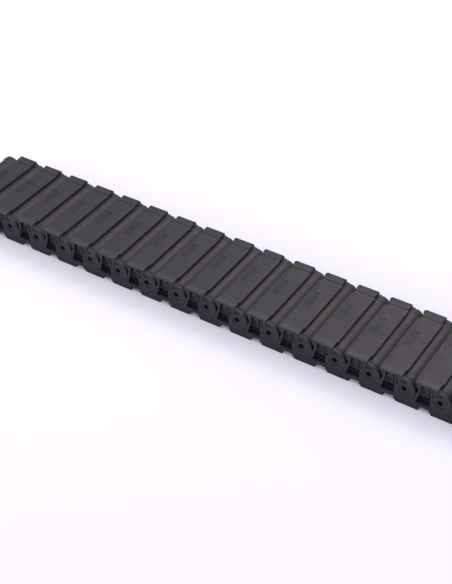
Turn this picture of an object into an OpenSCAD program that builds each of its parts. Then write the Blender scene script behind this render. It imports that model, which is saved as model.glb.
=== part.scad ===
// Enclosed cable drag chain: box-section links hinged end to end, each closed by a lid.
// +X runs along the chain, +Z is up and -Y is the side on which the lids snap shut.
// The links fold one way only: the right-hand end of each one swings up, lids on the inside.

/* [Chain] */
// Number of links
links = 17; // [2:1:24]
// Distance between two pivots
pitch = 46; // [44:1:54]
// Clear width between the side plates
inner_w = 100; // [70:1:200]
// Smallest radius of the pivot line when the chain is rolled up
bend_radius = 150; // [120:5:250]

/* [Side plates] */
// Thickness of the inner half of a side plate
inner_t = 5; // [4:0.1:7]
// Thickness of the outer half of a side plate
outer_t = 5.2; // [4.6:0.1:8]
// Side play between an inner and an outer ear
ear_gap = 0.3; // [0.2:0.05:0.6]
// Radius of the outer ear
ear_r = 15; // [14:0.1:15.2]
// How far right of the pivot the straight stop stands
stop_x = 10.5; // [9.5:0.1:11]
// Gap left between the stop faces of a straight chain
stop_gap = 0.2; // [0.1:0.05:0.4]
// How far left of the pivot the outer ear's cheek reaches
cheek = 12; // [11:0.1:13]
// Height of the skirts below the base plate
foot_h = 4.3; // [3:0.1:6]
// Widest part of the crescent gap between ear and lip
crescent = 4.7; // [3.5:0.1:5]

/* [Pivots] */
// Radius of the hollow boss on the inner ear
boss_r = 7.2; // [6.5:0.1:7.8]
// Radius of the hollow in the boss
boss_hollow_r = 3.7; // [3:0.1:4.5]
// Radial play of the boss in the outer ear
pin_play = 0.1; // [0.05:0.01:0.1]
// How far the boss stays below the outer face
boss_sink = 0.5; // [0.2:0.1:1]
// Height of the lug that limits the bend
lug_h = 2; // [1.5:0.1:2.5]
// Radius at which the lug stands
lug_at = 11.4; // [11:0.1:11.8]
// Width of the lug measured along the radius
lug_w = 3.4; // [2.5:0.1:4]
// Half the angle that the lug spans
lug_half = 9; // [6:0.5:12]

/* [Roll and base] */
// Outer radius of the rolls that close the joints
roll_r = 15.5; // [15.4:0.1:16.5]
// Wall of the rolls
roll_t = 2; // [1.6:0.1:2.6]
// Thickness of the base plate
base_t = 4; // [3:0.1:6]
// Gap between a roll and the base or the lid of the next link
roll_gap = 0.4; // [0.3:0.05:0.6]

/* [Lid] */
// Thickness of the lid's rim
lid_t = 4; // [3.6:0.1:5]
// Thickness of the lid's skin over the hollows
lid_skin = 2; // [1.4:0.1:2.6]
// Distance of the lid's right edge from the next pivot
lid_back = 1.75; // [1.5:0.05:2.5]
// Width of the hinge strip along the far edge
strip_w = 14; // [10:0.5:18]
// Depth of the stepped-back corners
corner_step = 1.5; // [1:0.1:2]
// Length of the stepped-back corner on the snap side
corner_w = 11; // [8:0.5:14]
// Gap between the lid and the frame under it
lid_seat = 0.2; // [0.1:0.05:0.3]
// Radius of the lid's hinge pins
hinge_pin_r = 1.15; // [1:0.05:1.3]
// Radial play of the hinge pins
hinge_play = 0.05; // [0.03:0.01:0.1]
// Length of the bare recessed panel across the lid
panel_l = 30; // [20:1:40]
// Width of the bare recessed panel along the chain
panel_w = 10; // [7:0.5:12]
// Depth of the bare recessed panel
panel_d = 0.5; // [0.3:0.1:0.8]

/* [Hidden] */
$fn = 64;
eps = 0.2;                                   // run-out of cuts past a face
bend_angle = 2 * asin(pitch / 2 / bend_radius);

// distances from the chain's middle plane
inner_o = inner_w / 2 + inner_t;             // outer face of the inner plates
outer_i = inner_o + ear_gap;                 // inner face of the outer ears
half_w = outer_i + outer_t;                  // outer face of the chain

// heights, from the pivot line
lid_z = roll_r + roll_gap;                   // underside of the lid
lid_top = lid_z + lid_t;
plate_top = lid_z - lid_seat;
base_top = -(roll_r + roll_gap);
base_z = base_top - base_t;
floor_z = base_z - foot_h;

// lengths along a link, from its left pivot
lid_x0 = roll_r + 0.1;
lid_x1 = pitch - lid_back;
base_x0 = 8.5;
base_x1 = pitch + base_x0 - 0.5;
inner_x1 = pitch - roll_r / 2;               // right end of the inner plates
lip_x = stop_x + stop_gap;
cheek_x = pitch - cheek;
elbow = [(ear_r + crescent) * cos(19.5), (ear_r + crescent) * sin(19.5)];
sill_z = -12.4;                              // bottom of the side pocket
pocket_x = lid_x0 + 6;                       // left end of the pocket at its top
slot_z = [sill_z + 0.6, sill_z + 7.2];       // slot through the pocket's back wall
notch_z = base_z + 2.4;                      // raised stretch between the skirts
notch_x = [20.7, cheek_x];
skirt_x = cheek_x + 2.6;

// rolls: the arc that each one covers, in degrees
top_arc = [42, 112];
low_arc = [-100, -50];
bar_z = [9, 12];                             // cross bar that joins the top roll to the lid's seat
bar_x = [roll_r * cos(top_arc[0]) - roll_t, lid_x0 + 1.6];

// stop lug
lug_dir = 270;
lug_play = 0.3;
slot_turn = 0.5;                             // spare angle at each end of the lug's slot

// lid hinge and snap
barrel_r = lid_t / 2;
hinge_o = half_w - barrel_r;
hinge_z = lid_top - barrel_r;
lug_x = [lid_x0, lid_x1 - corner_step - 3];  // left ends of the two hinge lugs
hinge_lug_w = 3;
hinge_pin_l = 2.6;
tongue_x = [24.5, 30.5];
tongue_t = 1.8;
tongue_z = 7.6;
tongue_o = inner_o + 1.2;                    // inner face of the tongue
nib_h = 0.8;

first_x = -(links * pitch + ear_r - roll_r) / 2;
function pad2(n) = n < 10 ? str("0", n) : str(n);

// Stands a flat outline up along the chain, filling from distance a to b off the middle plane.
// side is -1 on the snap side and 1 on the hinge side.
module stand(side, a, b) {
    translate([0, side < 0 ? -a : b, 0]) rotate([90, 0, 0]) linear_extrude(b - a) children();
}

// Round bar across the chain from distance a to b, with its axis on a pivot.
module cross_pin(side, r, a, b) {
    stand(side, a, b) circle(r);
}

// Outline of the outer half: lip, lobe, cheek, ear and skirt.
module outer_outline() {
    difference() {
        union() {
            polygon([
                [lid_x0 - 2.3, plate_top + 1.9], [lid_x0 - 0.3, plate_top + 1.9],
                [lid_x0 - 0.3, plate_top], [pitch - 3, plate_top], [pitch, ear_r],
                [pitch + stop_x, 0], [pitch + stop_x, floor_z], [skirt_x, floor_z],
                [skirt_x, floor_z + 2], [cheek_x, floor_z + 4.4], [cheek_x, notch_z],
                [notch_x[0], notch_z], [notch_x[0], floor_z + 2], [notch_x[0] - 2, floor_z],
                [lip_x, floor_z], [lip_x, sill_z + 1], elbow
            ]);
            translate([pitch, 0]) circle(ear_r);
            translate([notch_x[0] - 2, floor_z + 2]) circle(2);
        }
        // round bottom of the crescent and the ear's own sweep
        circle(ear_r + 0.4);
        translate([elbow[0] - 2, elbow[1]]) circle(2);
        pocket_outline();
    }
}

// Side pocket between the lip and the cheek, open upwards under the lid.
module pocket_outline() {
    polygon([
        [pocket_x, plate_top + eps], [pocket_x - 0.6, elbow[1] - 1], [pocket_x - 5.3, sill_z + 1],
        [pocket_x - 5.3, sill_z], [cheek_x, sill_z], [cheek_x, plate_top + eps]
    ]);
}

// Outline of the inner half: round ear, wall and the hollow end that clears the next ear.
module inner_outline() {
    difference() {
        union() {
            circle(roll_r);
            translate([base_x0, base_z]) square([inner_x1 - base_x0, bar_z[0] - base_z]);
            translate([lid_x0 - 1, base_z]) square([inner_x1 - lid_x0 + 1, plate_top - base_z]);
        }
        translate([pitch, 0]) circle(roll_r + roll_gap);
        // slot low in the pocket
        translate([pocket_x - 4.6, slot_z[0]]) square([cheek_x - pocket_x + 4, slot_z[1] - slot_z[0]]);
    }
}

// Ring sector about the pivot, from radius r0 to r1 and from angle a0 to a1.
module sector(r0, r1, a0, a1, depth) {
    rotate_extrude(angle = a1 - a0, start = a0) translate([r0, 0]) square([r1 - r0, depth]);
}

// Turns a sector upright with its thickness running outwards from distance a.
module sector_on_side(side, a, r0, r1, a0, a1, depth) {
    if (side < 0) translate([0, -a, 0]) rotate([90, 0, 0]) sector(r0, r1, a0, a1, depth);
    else translate([0, a + depth, 0]) rotate([90, 0, 0]) sector(r0, r1, a0, a1, depth);
}

// Shallow catch window above the pivot ring, with the catch block left standing.
module catch_window(side) {
    stand(side, half_w - 1, half_w + eps) difference() {
        translate([cheek_x + 1.5, 0]) square([cheek + 1.5, plate_top - 0.8]);
        translate([pitch, 0]) circle(boss_r + 2.4);
        translate([pitch - 7.5, boss_r]) square([3, plate_top]);
        translate([cheek_x, 0]) square([cheek, 4]);
    }
}

// One side plate with its boss, ear bore, stop lug and the slot that the next plate's lug runs in.
module side_plate(side) {
    difference() {
        union() {
            stand(side, inner_w / 2, inner_o) inner_outline();
            stand(side, inner_o - 0.1, outer_i + 0.1) intersection() {
                inner_outline();
                outer_outline();
            }
            stand(side, outer_i, half_w) outer_outline();
            cross_pin(side, boss_r, inner_o - 0.1, half_w - boss_sink);
            sector_on_side(side, inner_o - 0.1, lug_at - lug_w / 2, lug_at + lug_w / 2,
                lug_dir - lug_half, lug_dir + lug_half, lug_h + 0.1);
            // rib across the slot and two ribs on the pocket's back wall
            stand(side, inner_w / 2 + 2, inner_o + 0.6) slot_rib_outline();
            stand(side, inner_o - 0.1, inner_o + 1.2) pocket_ribs();
        }
        cross_pin(side, boss_hollow_r, inner_w / 2 + 3, half_w);
        translate([pitch, 0, 0]) {
            cross_pin(side, boss_r + pin_play, outer_i - eps, half_w + eps);
            // countersunk rim of the bore
            cross_pin(side, boss_r + 0.7, half_w - 0.5, half_w + eps);
            sector_on_side(side, outer_i - eps, lug_at - lug_w / 2 - lug_play, lug_at + lug_w / 2 + lug_play,
                lug_dir - lug_half - slot_turn, lug_dir + lug_half + slot_turn + bend_angle,
                lug_h + eps + 0.1);
        }
        catch_window(side);
    }
}

// Rib along the slot, ending clear of the next link's round ear.
module slot_rib_outline() {
    difference() {
        translate([pocket_x - 5, slot_z[0] + 2.6]) square([cheek_x - pocket_x + 4, 1.2]);
        translate([pitch, 0]) circle(roll_r + roll_gap);
    }
}

// Upright ribs that stiffen the pocket's back wall, one along its lip and one along its free end.
module pocket_ribs() {
    rib = 1.2;
    difference() {
        union() {
            translate([pocket_x + 0.8, slot_z[1]]) square([rib, plate_top - slot_z[1] - 0.6]);
            translate([pitch, 0]) circle(roll_r + roll_gap + rib);
        }
        translate([pitch, 0]) circle(roll_r + roll_gap);
        translate([cheek_x, floor_z]) square([2 * roll_r + cheek, lid_top - floor_z]);
        translate([0, plate_top - 0.6]) square([2 * pitch, pitch]);
        translate([0, floor_z]) square([2 * pitch, slot_z[1] - floor_z]);
    }
}

// Curved wall between the side plates, concentric with the pivots.
module roll(arc) {
    translate([0, inner_w / 2, 0]) rotate([90, 0, 0]) sector(roll_r - roll_t, roll_r, arc[0], arc[1], inner_w);
}

// Beam across the chain with its section given by two corners, reaching distance half to each side.
module beam(x, z, half) {
    translate([x[0], -half, z[0]]) cube([x[1] - x[0], 2 * half, z[1] - z[0]]);
}

// Two lugs on the far plate that carry the lid's hinge pins.
module hinge_lugs() {
    for (k = [0, 1]) {
        translate([lug_x[k], 0, 0]) {
            translate([0, hinge_o, hinge_z]) rotate([0, 90, 0]) cylinder(h = hinge_lug_w, r = barrel_r);
            translate([0, hinge_o - barrel_r, plate_top - 1])
                cube([hinge_lug_w, 2 * barrel_r, hinge_z - plate_top + 1]);
        }
        translate([lug_x[k] + (k == 0 ? hinge_lug_w - 0.1 : -hinge_pin_l), hinge_o, hinge_z]) rotate([0, 90, 0])
            cylinder(h = hinge_pin_l + 0.1, r = hinge_pin_r);
    }
}

// The two side plates of one link, with the snap nib on one and the hinge lugs on the other.
module side_plates() {
    color([0.17, 0.17, 0.2]) {
        side_plate(-1);
        stand(-1, inner_o - 0.1, inner_o + nib_h) translate([tongue_x[0], tongue_z + 1.1])
            square([tongue_x[1] - tongue_x[0], 1.2]);
        side_plate(1);
        hinge_lugs();
    }
}

// Base tray and roll bar of one link: the walls across the chain, seated between the side plates.
module cross_walls() {
    web = 2.5;
    color([0.2, 0.19, 0.22]) {
        // base plate, wider where it runs under the next link's round ears
        beam([base_x0, base_x1], [base_z, base_top], inner_w / 2);
        beam([inner_x1, base_x1], [base_z, base_top], outer_i);
        roll(low_arc);
        beam([base_x0, base_x0 + web], [base_z, (roll_r - roll_t) * sin(low_arc[1])], inner_w / 2);
        // roll bar with the lid's seat along its right-hand side
        roll(top_arc);
        beam(bar_x, bar_z, inner_w / 2);
        beam([lid_x0 - 1, bar_x[1]], [bar_z[0], plate_top], inner_w / 2);
    }
}

// Lid plate seen from above, with its stepped-back right-hand corners.
module lid_plan() {
    step_x = lid_x1 - corner_step;
    polygon([
        [lid_x0, -half_w], [step_x, -half_w], [step_x, corner_w - half_w], [lid_x1, corner_w - half_w],
        [lid_x1, half_w - strip_w], [step_x, half_w - strip_w], [step_x, hinge_o], [lid_x0, hinge_o]
    ]);
}

// Hollows that leave a skin, a rim and two cross ribs under the lid.
module lid_hollows() {
    rim = 3;
    rib = 2.4;
    wells = 3;
    clear = inner_w - 2 * rim;
    well = (clear - (wells - 1) * rib) / wells;
    for (k = [0:wells - 1])
        translate([lid_x0 + rim, -clear / 2 + k * (well + rib), lid_z - eps])
            cube([lid_x1 - lid_x0 - 2 * rim, well, lid_t - lid_skin + eps]);
}

// Tongue with a hook that snaps under the nib in the side pocket.
module snap_tongue() {
    w = tongue_x[1] - tongue_x[0];
    translate([tongue_x[0], -tongue_o - tongue_t, tongue_z]) cube([w, tongue_t, lid_z - tongue_z + 0.5]);
    translate([tongue_x[0], -tongue_o - 0.1, tongue_z]) cube([w, 0.9, 0.8]);
    translate([tongue_x[0], -tongue_o - tongue_t - 0.6, tongue_z]) cube([w, 0.7, 1.2]);
}

// Lid of one link: hinged along its far edge, snapped shut along its near edge.
module lid() {
    chamfer = 0.5;
    color([0.24, 0.23, 0.25]) difference() {
        union() {
            translate([0, 0, lid_z]) linear_extrude(lid_t) lid_plan();
            translate([lid_x0, hinge_o, hinge_z]) rotate([0, 90, 0])
                cylinder(h = lid_x1 - corner_step - lid_x0, r = barrel_r);
            snap_tongue();
        }
        lid_hollows();
        // seam of the hinge strip
        translate([lid_x0 - eps, half_w - strip_w - 0.4, lid_top - 0.8])
            cube([lid_x1 - lid_x0 + 2 * eps, 0.8, 0.8 + eps]);
        // bare recessed panel
        translate([lid_x0 + 3, -panel_l / 2 + 2.5, lid_top - panel_d])
            cube([panel_w, panel_l, panel_d + eps]);
        // worn-in bevels along the top edges
        for (x = [lid_x0, lid_x1]) translate([x, 0, lid_top]) rotate([0, 45, 0])
            cube([chamfer * sqrt(2), 2 * half_w + 2, chamfer * sqrt(2)], center = true);
        translate([pitch / 2, -half_w, lid_top]) rotate([45, 0, 0])
            cube([pitch, chamfer * sqrt(2), chamfer * sqrt(2)], center = true);
        // room for the frame's hinge lugs, and the bores for their pins
        for (x = lug_x) translate([x - 0.3, hinge_o - barrel_r - 0.6, lid_z - eps])
            cube([hinge_lug_w + 0.6, 3 * barrel_r, lid_t + 2 * eps]);
        translate([lid_x0, hinge_o, hinge_z]) rotate([0, 90, 0])
            cylinder(h = hinge_lug_w + hinge_pin_l + 0.3, r = hinge_pin_r + hinge_play);
        translate([lug_x[1] - hinge_pin_l - 0.3, hinge_o, hinge_z]) rotate([0, 90, 0])
            cylinder(h = hinge_lug_w + hinge_pin_l + 0.6, r = hinge_pin_r + hinge_play);
    }
}

for (n = [1:links]) translate([first_x + (n - 1) * pitch, 0, -floor_z]) {
    side_plates();
    cross_walls();
    lid();
}
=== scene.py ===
"""Enclosed cable drag chain of seventeen box links, shown straight on a pale studio floor.

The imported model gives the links, their joints and their sizes. This script dresses it: every lid is
rebuilt with moulded fillets and a perforated seam, the plates and cross walls get their finish, and a
soft studio stands round them. Lengths are metres in the model's own frame unless a name says _mm.
"""

import logging
import math
from dataclasses import dataclass
from enum import Enum

import bpy
import numpy as np
from mathutils import Matrix, Vector


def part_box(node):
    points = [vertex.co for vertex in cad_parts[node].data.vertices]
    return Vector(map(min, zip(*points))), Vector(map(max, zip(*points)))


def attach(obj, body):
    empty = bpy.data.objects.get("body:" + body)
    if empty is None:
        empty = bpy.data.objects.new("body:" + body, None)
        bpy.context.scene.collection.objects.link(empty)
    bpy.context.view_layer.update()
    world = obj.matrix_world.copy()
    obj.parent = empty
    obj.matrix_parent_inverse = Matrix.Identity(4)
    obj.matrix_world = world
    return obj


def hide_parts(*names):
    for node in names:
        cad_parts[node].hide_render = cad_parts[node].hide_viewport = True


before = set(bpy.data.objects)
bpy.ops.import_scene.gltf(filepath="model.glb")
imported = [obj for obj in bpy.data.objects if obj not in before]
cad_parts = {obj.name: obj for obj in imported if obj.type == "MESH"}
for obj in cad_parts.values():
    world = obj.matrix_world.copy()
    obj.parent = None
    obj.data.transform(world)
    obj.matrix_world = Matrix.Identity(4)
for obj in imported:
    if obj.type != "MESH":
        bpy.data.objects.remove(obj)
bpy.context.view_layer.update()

LOG = logging.getLogger("drag_chain")
MM = 0.001
WEAR_AND_HIGHLIGHT = "rubbed_and_highlit_edge"        # point attribute: how much rubbing wear and painted highlight an edge gets
SHADED_FLOOR = "shaded_unrubbed_floor"         # point attribute: recessed floors, painted darker as shade and as resin that nothing rubs
UNRUBBED_RESIN_IN_SHADE = "#130f17"     # the resin where nothing rubs it, darkened further as painted shade in recesses


# ---------------------------------------------------------------------------------------- colour, nodes


def srgb(code: str) -> tuple[float, float, float, float]:
    """Turns an sRGB hex colour into a linear RGBA value.

    Args:
        code: Six hex digits with a leading hash.

    Returns:
        Red, green, blue and alpha, linear, alpha 1.
    """
    parts = np.array([int(code[i:i + 2], 16) for i in (1, 3, 5)]) / 255
    linear = np.where(parts <= 0.04045, parts / 12.92, ((parts + 0.055) / 1.055) ** 2.4)
    return (*linear.tolist(), 1.0)


def add_node(
    tree: bpy.types.NodeTree, kind: str, sockets: dict | None = None, **settings: object
) -> bpy.types.Node:
    """Adds one node, sets it and joins what feeds it.

    Args:
        tree: The node tree that gets the node.
        kind: Blender's name of the node type.
        sockets: Input name or index to a value, or to the output socket that feeds it.
        **settings: Properties of the node itself.

    Returns:
        The new node.
    """
    node = tree.nodes.new(kind)
    for name, value in settings.items():
        setattr(node, name, value)
    for name, value in (sockets or {}).items():
        if isinstance(value, bpy.types.NodeSocket):
            tree.links.new(value, node.inputs[name])
        else:
            node.inputs[name].default_value = value
    return node


# ---------------------------------------------------------------------------------------- finishes


@dataclass(frozen=True)
class MouldedNylon:
    """Glass-filled polyamide 6, injection moulded in a spark-eroded tool.

    The tool's grain leaves it matt with a soft broad sheen. The glass shows as a faint cloudiness,
    and edges turn a paler, dustier grey: partly rubbing wear, partly a painted highlight where they catch the
    light.
    """

    name: str
    colour: str                 # the resin, dyed black
    cloud: str                  # where glass and dust cloud it
    rubbed_and_highlit: str                 # scuffs, rubbing wear on edges and the painted highlight on edges
    roughness: float
    sheen_level: float = 0.42   # the grain breaks up part of the mirror reflection
    grain_mm: float = 0.7       # the real grain is about 0.1 mm, drawn coarser so that it shows
    grain_height_mm: float = 0.03
    cloud_mm: float = 24.0      # size of the cloudy patches
    scuff_mm: float = 1.6       # width of a scuff mark
    scuff_share: float = 0.35   # how strongly scuffs pale the surface

    def material(self) -> bpy.types.Material:
        """Builds the node material of this finish.

        Returns:
            The finished material.
        """
        made = bpy.data.materials.new(self.name)
        made.use_nodes = True
        tree = made.node_tree
        tree.nodes.clear()
        place = add_node(tree, "ShaderNodeTexCoord").outputs["Object"]
        clouds = add_node(tree, "ShaderNodeTexNoise", {
            "Vector": place, "Scale": 1 / (self.cloud_mm * MM), "Detail": 5.0, "Roughness": 0.62})
        tinted = add_node(tree, "ShaderNodeMix", {
            "Factor": add_node(tree, "ShaderNodeMapRange", {
                "Value": clouds.outputs["Fac"], "From Min": 0.36, "From Max": 0.68}).outputs["Result"],
            6: srgb(self.colour), 7: srgb(self.cloud)}, data_type="RGBA")
        # fine dusty speckle, one speck a grain wide
        speck = add_node(tree, "ShaderNodeTexNoise", {
            "Vector": place, "Scale": 1 / (self.grain_mm * MM), "Detail": 3.0, "Roughness": 0.7})
        # scuffs: short streaks across the chain, thickest where hands and fixtures rub
        stretched = add_node(tree, "ShaderNodeMapping", {"Vector": place, "Scale": (1.0, 0.16, 1.0)})
        streak = add_node(tree, "ShaderNodeTexNoise", {
            "Vector": stretched.outputs["Vector"], "Scale": 1 / (self.scuff_mm * MM),
            "Detail": 4.0, "Roughness": 0.75})
        scuff = add_node(tree, "ShaderNodeMapRange", {
            "Value": streak.outputs["Fac"], "From Min": 0.56, "From Max": 0.78,
            "To Max": self.scuff_share}).outputs["Result"]
        # painted highlight: the marked edges turn paler, partly rubbing wear and partly light caught on the
        # edge
        worn_and_highlit = add_node(tree, "ShaderNodeAttribute", attribute_name=WEAR_AND_HIGHLIGHT).outputs["Fac"]
        rub_and_highlight = add_node(tree, "ShaderNodeMath", {
            0: worn_and_highlit, 1: add_node(tree, "ShaderNodeMapRange", {
                "Value": speck.outputs["Fac"], "From Min": 0.35, "From Max": 0.62}).outputs["Result"]},
            operation="MULTIPLY").outputs["Value"]
        pale = add_node(tree, "ShaderNodeMath", {0: rub_and_highlight, 1: scuff}, operation="MAXIMUM", use_clamp=True)
        scuffed_and_highlit = add_node(tree, "ShaderNodeMix", {
            "Factor": pale.outputs["Value"], 6: tinted.outputs[2], 7: srgb(self.rubbed_and_highlit)}, data_type="RGBA")
        # recessed floors are painted darker: partly the fresh black of resin that nothing rubs, partly
        # painted shade of the recess
        kept = add_node(tree, "ShaderNodeAttribute", attribute_name=SHADED_FLOOR).outputs["Fac"]
        coloured = add_node(tree, "ShaderNodeMix", {
            "Factor": kept, 6: scuffed_and_highlit.outputs[2], 7: srgb(UNRUBBED_RESIN_IN_SHADE)}, data_type="RGBA")
        rough = add_node(tree, "ShaderNodeMapRange", {
            "Value": clouds.outputs["Fac"], "From Min": 0.3, "From Max": 0.7,
            "To Min": self.roughness - 0.06, "To Max": self.roughness + 0.06}).outputs["Result"]
        bump = add_node(tree, "ShaderNodeBump", {
            "Height": speck.outputs["Fac"], "Distance": self.grain_height_mm * MM, "Strength": 0.8})
        shader = add_node(tree, "ShaderNodeBsdfPrincipled", {
            "Base Color": coloured.outputs[2], "Roughness": rough, "Normal": bump.outputs["Normal"],
            "IOR": 1.53, "Metallic": 0.0, "Specular IOR Level": self.sheen_level})
        add_node(tree, "ShaderNodeOutputMaterial", {"Surface": shader.outputs["BSDF"]})
        return made


class Finish(Enum):
    """The chain's three mouldings, by the record's material slot."""

    PLATE = MouldedNylon("side plates, black glass-filled nylon, moulded",
                         colour="#1e1c25", cloud="#24222c", rubbed_and_highlit="#44424c", roughness=0.62)
    WALL = MouldedNylon("cross walls, black glass-filled nylon, moulded",
                        colour="#221e23", cloud="#29252a", rubbed_and_highlit="#544e52", roughness=0.58,
                        scuff_share=0.5)
    LID = MouldedNylon("lids, black glass-filled nylon, moulded",
                       colour="#211d25", cloud="#27222b", rubbed_and_highlit="#575057", roughness=0.60)


@dataclass(frozen=True)
class StudioPaper:
    """Matt white background paper: no gloss, faintly cool."""

    name: str = "studio floor, matt white paper"
    colour: str = "#fbfafe"
    roughness: float = 1.0

    def material(self) -> bpy.types.Material:
        """Builds the plain paper.

        Returns:
            The finished material.
        """
        made = bpy.data.materials.new(self.name)
        made.use_nodes = True
        tree = made.node_tree
        tree.nodes.clear()
        shader = add_node(tree, "ShaderNodeBsdfDiffuse",
                          {"Color": srgb(self.colour), "Roughness": self.roughness})
        add_node(tree, "ShaderNodeOutputMaterial", {"Surface": shader.outputs["BSDF"]})
        return made


# ---------------------------------------------------------------------------------------- surfaces


def sheet_faces(rows: int, columns: int, closed: bool) -> np.ndarray:
    """Quads that join a grid of points, row by row.

    Args:
        rows: Number of rows of points.
        columns: Number of points in a row.
        closed: Whether each row is a ring.

    Returns:
        One quad of point numbers a line.
    """
    across = np.arange(columns if closed else columns - 1)
    base = np.arange(rows - 1)[:, None] * columns
    a = base + across
    b = base + (across + 1) % columns
    return np.stack([a, b, b + columns, a + columns], axis=-1).reshape(-1, 4)


def lathe(profile: np.ndarray, start: Vector, sides: int = 32) -> tuple[np.ndarray, np.ndarray]:
    """Turns a profile about an axis that runs along X.

    A profile point (s, r) goes to start + (s, r cos t, r sin t), with t once round the circle.

    Args:
        profile: Distance along the axis and radius, one point a line, from one pole to the other.
        start: Where the axis starts.
        sides: Points in a ring.

    Returns:
        Points and quads.
    """
    turn = np.linspace(0, 2 * np.pi, sides, endpoint=False)
    along, radius = profile[:, :1], profile[:, 1:]
    grid = np.stack([
        start.x + along + 0 * turn, start.y + radius * np.cos(turn), start.z + radius * np.sin(turn)],
        axis=-1)
    return grid.reshape(-1, 3), sheet_faces(len(profile), sides, closed=True)


def bar_along_x(section: np.ndarray, ends: tuple[float, float]) -> tuple[np.ndarray, list]:
    """Carries a closed section in the YZ plane straight along X and closes both ends.

    Args:
        section: Y and Z of the section's corners, anticlockwise seen from +X.
        ends: X of the two ends, the lower first.

    Returns:
        Points and faces, quads round the bar and one face on each end.
    """
    count = len(section)
    points = np.concatenate([np.insert(section, 0, x, axis=1) for x in ends])
    around = sheet_faces(2, count, closed=True).tolist()
    caps = [list(range(count))[::-1], list(range(count, 2 * count))]
    return points, around + caps


def make_piece(
    name: str, shells: list, finish: bpy.types.Material, marks: dict[str, np.ndarray] | None = None
) -> bpy.types.Object:
    """Puts shells of points and faces into one mesh object at the origin.

    Args:
        name: The piece's name.
        shells: Pairs of points and faces.
        finish: The material of the whole piece.
        marks: Attribute name to a value from 0 to 1 for each point of the first shell.

    Returns:
        The new object, linked to the scene, smooth with its creases kept sharp.
    """
    first = np.cumsum([0] + [len(points) for points, _ in shells])
    faces = [[int(i) + int(start) for i in face] for start, (_, part) in zip(first, shells) for face in part]
    mesh = bpy.data.meshes.new(name)
    mesh.from_pydata(np.concatenate([points for points, _ in shells]).tolist(), [], faces)
    for mark, values in (marks or {}).items():
        spread = np.zeros(len(mesh.vertices), np.float32)
        spread[:len(values)] = values
        mesh.attributes.new(mark, "FLOAT", "POINT").data.foreach_set("value", spread)
    mesh.validate()
    mesh.shade_smooth()
    mesh.set_sharp_from_angle(angle=math.radians(32))
    mesh.materials.append(finish)
    piece = bpy.data.objects.new(name, mesh)
    bpy.context.scene.collection.objects.link(piece)
    return piece


# ---------------------------------------------------------------------------------------- the lid


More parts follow.
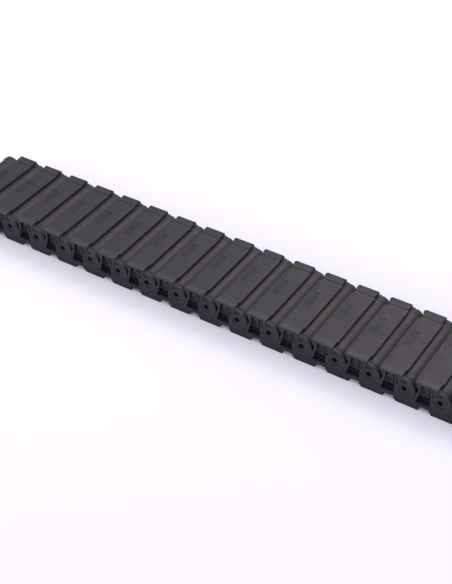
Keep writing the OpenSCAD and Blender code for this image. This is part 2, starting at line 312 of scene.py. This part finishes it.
@dataclass
class Lid:
    """One link's lid: a ribbed plate, hinged along its far edge and snapped shut at its near edge."""

    number: int
    finish: bpy.types.Material
    thickness: float = 4 * MM
    skin: float = 2 * MM
    rim: float = 3 * MM
    rib: float = 2.4 * MM
    wells: int = 3
    well_span: float = 94 * MM
    fillet: float = 0.6 * MM
    corner_step: float = 1.5 * MM
    near_corner: float = 11 * MM
    strip: float = 14 * MM
    seam: float = 0.9 * MM
    seam_depth: float = 0.8 * MM
    land_pitch: float = 2.2 * MM        # distance between the lands that bridge the seam
    land_half: float = 0.352 * MM
    land_sink: float = 0.35             # a land's depth as a share of the seam's
    barrel: float = 2 * MM
    lug_room: float = 3.3 * MM
    lug_gap: float = 0.6 * MM
    bore: float = 1.2 * MM
    bore_depth: float = 2.9 * MM
    panel_in: float = 3 * MM
    panel_width: float = 10 * MM
    panel_length: float = 30 * MM
    panel_off: float = 2.5 * MM
    panel_depth: float = 0.5 * MM
    panel_round: float = 1.2 * MM
    panel_ease: float = 0.3 * MM
    tongue_left: float = 8.9 * MM
    tongue_width: float = 6 * MM
    tongue_drop: float = 8.3 * MM
    tongue_in: float = 4.3 * MM
    tongue_wall: float = 1.8 * MM

    def __post_init__(self) -> None:
        """Reads the lid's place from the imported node."""
        low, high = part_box(self.node)
        self.left, self.right = low.x, high.x
        self.near, self.far, self.top = low.y, high.y, high.z
        self.hinge = self.far - self.barrel
        self.lug_row = self.hinge - self.barrel - self.lug_gap

    @property
    def node(self) -> str:
        """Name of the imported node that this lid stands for."""
        return f"lid_{self.number:02d}"

    def edges(self, y: np.ndarray) -> tuple[np.ndarray, np.ndarray]:
        """Left and right edge of the plate at each distance across the chain.

        Args:
            y: Places across the chain.

        Returns:
            X of the left and of the right edge: both draw in by the lugs' room next to the barrel, and
            the right edge steps back at both corners.
        """
        by_lug = y > self.lug_row
        stepped = (y < self.near + self.near_corner) | (y > self.far - self.strip)
        left = self.left + np.where(by_lug, self.lug_room, 0)
        right = self.right - np.where(stepped, self.corner_step, 0) - np.where(by_lug, self.lug_room, 0)
        return left, right

    def panel_sink(self, x: np.ndarray, y: np.ndarray) -> np.ndarray:
        """Depth of the bare recessed panel: full inside a round-cornered rectangle, soft at its rim.

        The signed distance to the rectangle runs through a smooth step, panel_ease wide.

        Args:
            x: Places along the chain.
            y: Places across the chain.

        Returns:
            How far the surface lies below the plate's top.
        """
        half = np.array([self.panel_width, self.panel_length]) / 2 - self.panel_round
        mid_x = self.left + self.panel_in + self.panel_width / 2
        out_x = np.abs(x - mid_x) - half[0]
        out_y = np.abs(y - self.panel_off) - half[1]
        away = np.hypot(np.maximum(out_x, 0), np.maximum(out_y, 0))
        away = away + np.minimum(np.maximum(out_x, out_y), 0) - self.panel_round
        ease = np.clip(0.5 - away / self.panel_ease, 0, 1)
        return self.panel_depth * ease * ease * (3 - 2 * ease)

    def seam_sink(self, x: np.ndarray, y: np.ndarray) -> np.ndarray:
        """Depth of the seam, a groove that short lands bridge like a perforation.

        Args:
            x: Places along the chain.
            y: Places across the chain.

        Returns:
            Depth below the plate's top: the whole depth, or a third of it on a land.
        """
        line = self.far - self.strip
        inside = np.abs(y - line) < self.seam / 2 + 1e-7
        step = (x - self.left) / self.land_pitch
        land = np.abs(step - np.round(step)) < self.land_half / self.land_pitch
        return np.where(inside, self.seam_depth * np.where(land, self.land_sink, 1.0), 0)

    def plate(self) -> tuple[np.ndarray, np.ndarray, dict[str, np.ndarray]]:
        """The plate as one closed skin: a ring of points round each cross-section, from near to far.

        Each ring runs left to right over the top and back under the plate. The top height is the
        plate's top less a quarter-round near every edge, sqrt(r^2 - dx^2 - dy^2), less the panel and
        the seam. The underside rises to the skin inside three wells.

        Returns:
            Points, quads, and for each point its edge wear with painted highlight,
            and its painted shade as a recessed floor.
        """
        tiny = 0.02 * MM
        turn = np.linspace(0, np.pi / 2, 5)
        curl = self.fillet * (1 - np.cos(turn))
        panel = self.panel_in + np.array([0, self.panel_width])
        border = np.linspace(-0.3, 1.5, 7) * MM
        land_sides = np.array([-0.38, -0.32, 0.32, 0.38]) * MM      # just outside and inside land_half
        lands = np.arange(1, 13)[:, None] * self.land_pitch + land_sides
        inner = np.concatenate([panel[0] + border, panel[1] - border, lands.ravel()])
        width = self.right - self.left
        inner = np.unique(np.round(inner[inner < width - self.corner_step - self.lug_room - MM], 7))
        inner = inner[inner > self.lug_room + MM]
        under = np.array([self.rim - tiny, self.rim + tiny, width - self.rim - tiny, width - self.rim + tiny])

        near_rows = self.near + curl
        step_rows = [self.near + self.near_corner - tiny, self.near + self.near_corner + tiny]
        ends = self.panel_off + np.array([-1, 1]) * self.panel_length / 2
        panel_rows = np.concatenate([ends[0] + border, ends[1] - border])
        line = self.far - self.strip
        seam_rows = line + np.array([-self.seam / 2 - tiny, -self.seam / 2 + tiny, self.seam / 2 - tiny,
                                     self.seam / 2 + tiny])
        lug_rows = [self.lug_row - tiny, self.lug_row + tiny]
        well = (self.well_span - (self.wells - 1) * self.rib) / self.wells
        starts = -self.well_span / 2 + np.arange(self.wells) * (well + self.rib)
        well_rows = np.concatenate([starts - tiny, starts + tiny, starts + well - tiny, starts + well + tiny])
        rows = np.unique(np.concatenate([
            near_rows, step_rows, panel_rows, seam_rows, lug_rows, well_rows, [self.hinge]]))

        y = rows[:, None]
        left, right = self.edges(y)
        top_x = np.concatenate([
            left + curl, self.left + inner + 0 * y, right - curl[::-1]], axis=1)
        dx = np.maximum(0, self.fillet - np.minimum(top_x - left, right - top_x))
        dy = np.maximum(0, self.fillet - (y - self.near)) + 0 * dx
        drop = self.fillet - np.sqrt(np.maximum(self.fillet ** 2 - dx ** 2 - dy ** 2, 0))
        top_z = self.top - drop - self.panel_sink(top_x, y) - self.seam_sink(top_x, y)

        under_x = np.concatenate([left, self.left + under + 0 * y, right], axis=1)[:, ::-1]
        in_well = np.any((y > starts) & (y < starts + well), axis=1, keepdims=True)
        between = (under_x > self.left + self.rim) & (under_x < self.right - self.rim)
        under_z = self.top - np.where(in_well & between, self.skin, self.thickness)
        under_x = np.clip(under_x, left, right)

        ring = np.stack([
            np.concatenate([top_x, under_x], axis=1),
            np.repeat(y, top_x.shape[1] + under_x.shape[1], axis=1),
            np.concatenate([top_z, under_z], axis=1)], axis=-1)
        # both ends close on a line at half the thickness
        flat = ring[[0, -1]].copy()
        flat[..., 2] = self.top - self.thickness / 2
        skin = np.concatenate([flat[:1], ring, flat[1:]])

        # edge marks on the fillets and a band along the near edge: rubbing wear and a painted highlight
        edge = np.clip(dx / self.fillet, 0, 1) * 0.3
        edge = np.maximum(edge, np.clip(1.1 - (y - self.near) / (1.6 * MM), 0, 0.8))
        # recessed floors of the panel and seam: painted shade of the recess, partly also resin that nothing
        # rubs
        sunk_shade = self.panel_sink(top_x, y) / self.panel_depth
        sunk_shade = np.maximum(sunk_shade, (self.seam_sink(top_x, y) > self.seam_depth / 2) * 1.0)
        marks = {}
        for mark, on_top in ((WEAR_AND_HIGHLIGHT, edge), (SHADED_FLOOR, sunk_shade)):
            ringed = np.concatenate([on_top, 0 * under_x], axis=1)
            marks[mark] = np.concatenate([ringed[:1], ringed, ringed[-1:] * 0]).ravel()
        faces = sheet_faces(len(skin), skin.shape[1], closed=True)
        return skin.reshape(-1, 3), faces, marks

    def hinge_barrel(self) -> tuple[np.ndarray, np.ndarray]:
        """The barrel along the far edge, a lathe shape with a blind bore for a pin at each end.

        Returns:
            Points and quads.
        """
        length = self.right - self.left - self.corner_step - 2 * self.lug_room
        soft = 0.25 * MM
        half = np.array([
            [self.bore_depth, 0], [self.bore_depth, self.bore], [0, self.bore],
            [0, self.barrel - soft], [soft, self.barrel]])
        other = half[::-1] * [-1, 1] + [length, 0]
        start = Vector((self.left + self.lug_room, self.hinge, self.top - self.barrel))
        return lathe(np.concatenate([half, other]), start)

    def snap_tongue(self) -> tuple[np.ndarray, list]:
        """The tongue that reaches down into the side pocket, with a hook inside and a lip outside.

        Returns:
            Points and faces.
        """
        inner = self.near + self.tongue_in
        outer = inner - self.tongue_wall
        root = self.top - self.thickness + 0.4 * MM
        tip = root - self.tongue_drop - 0.4 * MM
        section = np.array([
            [inner, root], [outer, root], [outer, tip + 1.5 * MM], [outer - 0.6 * MM, tip + 1.0 * MM],
            [outer - 0.6 * MM, tip + 0.3 * MM], [outer - 0.3 * MM, tip], [inner + 0.5 * MM, tip],
            [inner + 0.8 * MM, tip + 0.3 * MM], [inner + 0.8 * MM, tip + 0.6 * MM], [inner, tip + 0.9 * MM]])
        left = self.left + self.tongue_left
        return bar_along_x(section, (left, left + self.tongue_width))

    def build(self) -> bpy.types.Object:
        """Makes the lid, puts it in its node's place and lets it swing with its cover body.

        Returns:
            The finished piece.
        """
        points, quads, marks = self.plate()
        shells = [(points, quads), self.hinge_barrel(), self.snap_tongue()]
        piece = make_piece(f"lid_shell_{self.number:02d}", shells, self.finish, marks)
        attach(piece, f"cover_{self.number:02d}")
        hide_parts(self.node)
        return piece


# ---------------------------------------------------------------------------------------- the links


@dataclass
class Link:
    """One link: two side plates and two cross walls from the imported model, and a rebuilt lid."""

    number: int
    finishes: dict

    def dress(self, node: str, finish: Finish) -> None:
        """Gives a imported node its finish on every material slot.

        Args:
            node: Name of the node.
            finish: Which moulding it is.
        """
        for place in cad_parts[node].material_slots:
            place.material = self.finishes[finish]

    def build(self) -> None:
        """Dresses the link's plates and cross walls and builds its lid."""
        tag = f"{self.number:02d}"
        self.dress(f"side_plates_{tag}", Finish.PLATE)
        self.dress(f"cross_walls_{tag}", Finish.WALL)
        lid = Lid(self.number, self.finishes[Finish.LID]).build()
        LOG.info("link %s: plates, walls and %s with %d faces", tag, lid.name, len(lid.data.polygons))


@dataclass
class Chain:
    """The whole chain, one link after another."""

    links: int

    def build(self) -> None:
        """Makes the three finishes once and builds every link with them."""
        finishes = {finish: finish.value.material() for finish in Finish}
        for number in range(1, self.links + 1):
            Link(number, finishes).build()


# ---------------------------------------------------------------------------------------- the studio


@dataclass(frozen=True)
class Softbox:
    """A large diffused lamp that looks at the middle of the chain."""

    name: str
    azimuth: float              # degrees from +X, anticlockwise seen from above
    elevation: float
    distance: float
    size: tuple[float, float]
    power: float
    colour: str

    def place(self, aim: Vector) -> None:
        """Hangs the lamp on its bearing from the aim point.

        Args:
            aim: The point that the lamp faces.
        """
        turn, tilt = math.radians(self.azimuth), math.radians(self.elevation)
        away = Vector((math.cos(turn) * math.cos(tilt), math.sin(turn) * math.cos(tilt), math.sin(tilt)))
        lamp = bpy.data.lights.new(self.name, "AREA")
        lamp.shape = "RECTANGLE"
        lamp.size, lamp.size_y = self.size
        lamp.energy = self.power
        lamp.color = srgb(self.colour)[:3]
        holder = bpy.data.objects.new(self.name, lamp)
        holder.location = aim + away * self.distance
        holder.rotation_euler = away.to_track_quat("Z", "Y").to_euler()
        bpy.context.scene.collection.objects.link(holder)


@dataclass
class Studio:
    """Pale floor, room light, softboxes and the camera."""

    aim: Vector
    azimuth: float = 33.53      # the camera's bearing, degrees from -Y towards +X
    elevation: float = 39.99
    roll: float = -1.11
    distance: float = 1.568
    lens_mm: float = 76.19
    floor_size: float = 24.0
    room_colour: str = "#f6f5ff"
    room_strength: float = 0.86

    def build_camera(self) -> None:
        """Sets up the camera on its bearing from the aim point."""
        turn, tilt, lean = (math.radians(a) for a in (self.azimuth, self.elevation, self.roll))
        forward = Vector((-math.sin(turn) * math.cos(tilt), math.cos(turn) * math.cos(tilt), -math.sin(tilt)))
        level = Vector((math.cos(turn), math.sin(turn), 0))
        above = level.cross(forward)
        right = level * math.cos(lean) + above * math.sin(lean)
        up = right.cross(forward)
        lens = bpy.data.cameras.new("studio_camera")
        lens.lens = self.lens_mm
        lens.sensor_width = 36.0
        lens.clip_end = 60.0
        camera = bpy.data.objects.new("studio_camera", lens)
        basis = Matrix((right, up, -forward)).transposed().to_4x4()
        camera.matrix_world = Matrix.Translation(self.aim - forward * self.distance) @ basis
        bpy.context.scene.collection.objects.link(camera)
        bpy.context.scene.camera = camera

    def build_floor(self) -> None:
        """Lays the floor, a level grid z = 0 that reaches far past the picture."""
        side = np.linspace(-self.floor_size / 2, self.floor_size / 2, 9)
        across, along = np.meshgrid(side, side)
        points = np.stack([across, along, 0 * across - 0.05 * MM], axis=-1).reshape(-1, 3)
        floor = make_piece("studio_floor", [(points, sheet_faces(9, 9, closed=False))],
                           StudioPaper().material())

    def build_light(self) -> None:
        """Lights the room evenly and adds the softboxes."""
        world = bpy.data.worlds.new("studio_room")
        world.use_nodes = True
        world.node_tree.nodes.clear()
        sky = add_node(world.node_tree, "ShaderNodeBackground", {
            "Color": srgb(self.room_colour), "Strength": self.room_strength})
        add_node(world.node_tree, "ShaderNodeOutputWorld", {"Surface": sky.outputs["Background"]})
        bpy.context.scene.world = world
        for box in (
            Softbox("key_softbox", azimuth=90, elevation=50, distance=2.6, size=(1.2, 1.2),
                    power=26, colour="#fff4f4"),
            Softbox("top_softbox", azimuth=200, elevation=80, distance=2.4, size=(1.6, 1.6),
                    power=8, colour="#f6f4ff"),
        ):
            box.place(self.aim)

    def build(self) -> None:
        """Builds floor, light and camera, and shows colours as they are."""
        bpy.context.scene.view_settings.view_transform = "Standard"
        self.build_floor()
        self.build_light()
        self.build_camera()
        LOG.info("studio: camera %.3f m from the aim point", self.distance)


def main() -> None:
    """Builds the studio and the chain."""
    logging.basicConfig(level=logging.INFO, format="%(message)s")
    Studio(aim=Vector((0.0324, -0.0277, 0.03))).build()
    links = sum(name.startswith("lid_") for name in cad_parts)
    Chain(links).build()


if __name__ == "__main__":
    main()
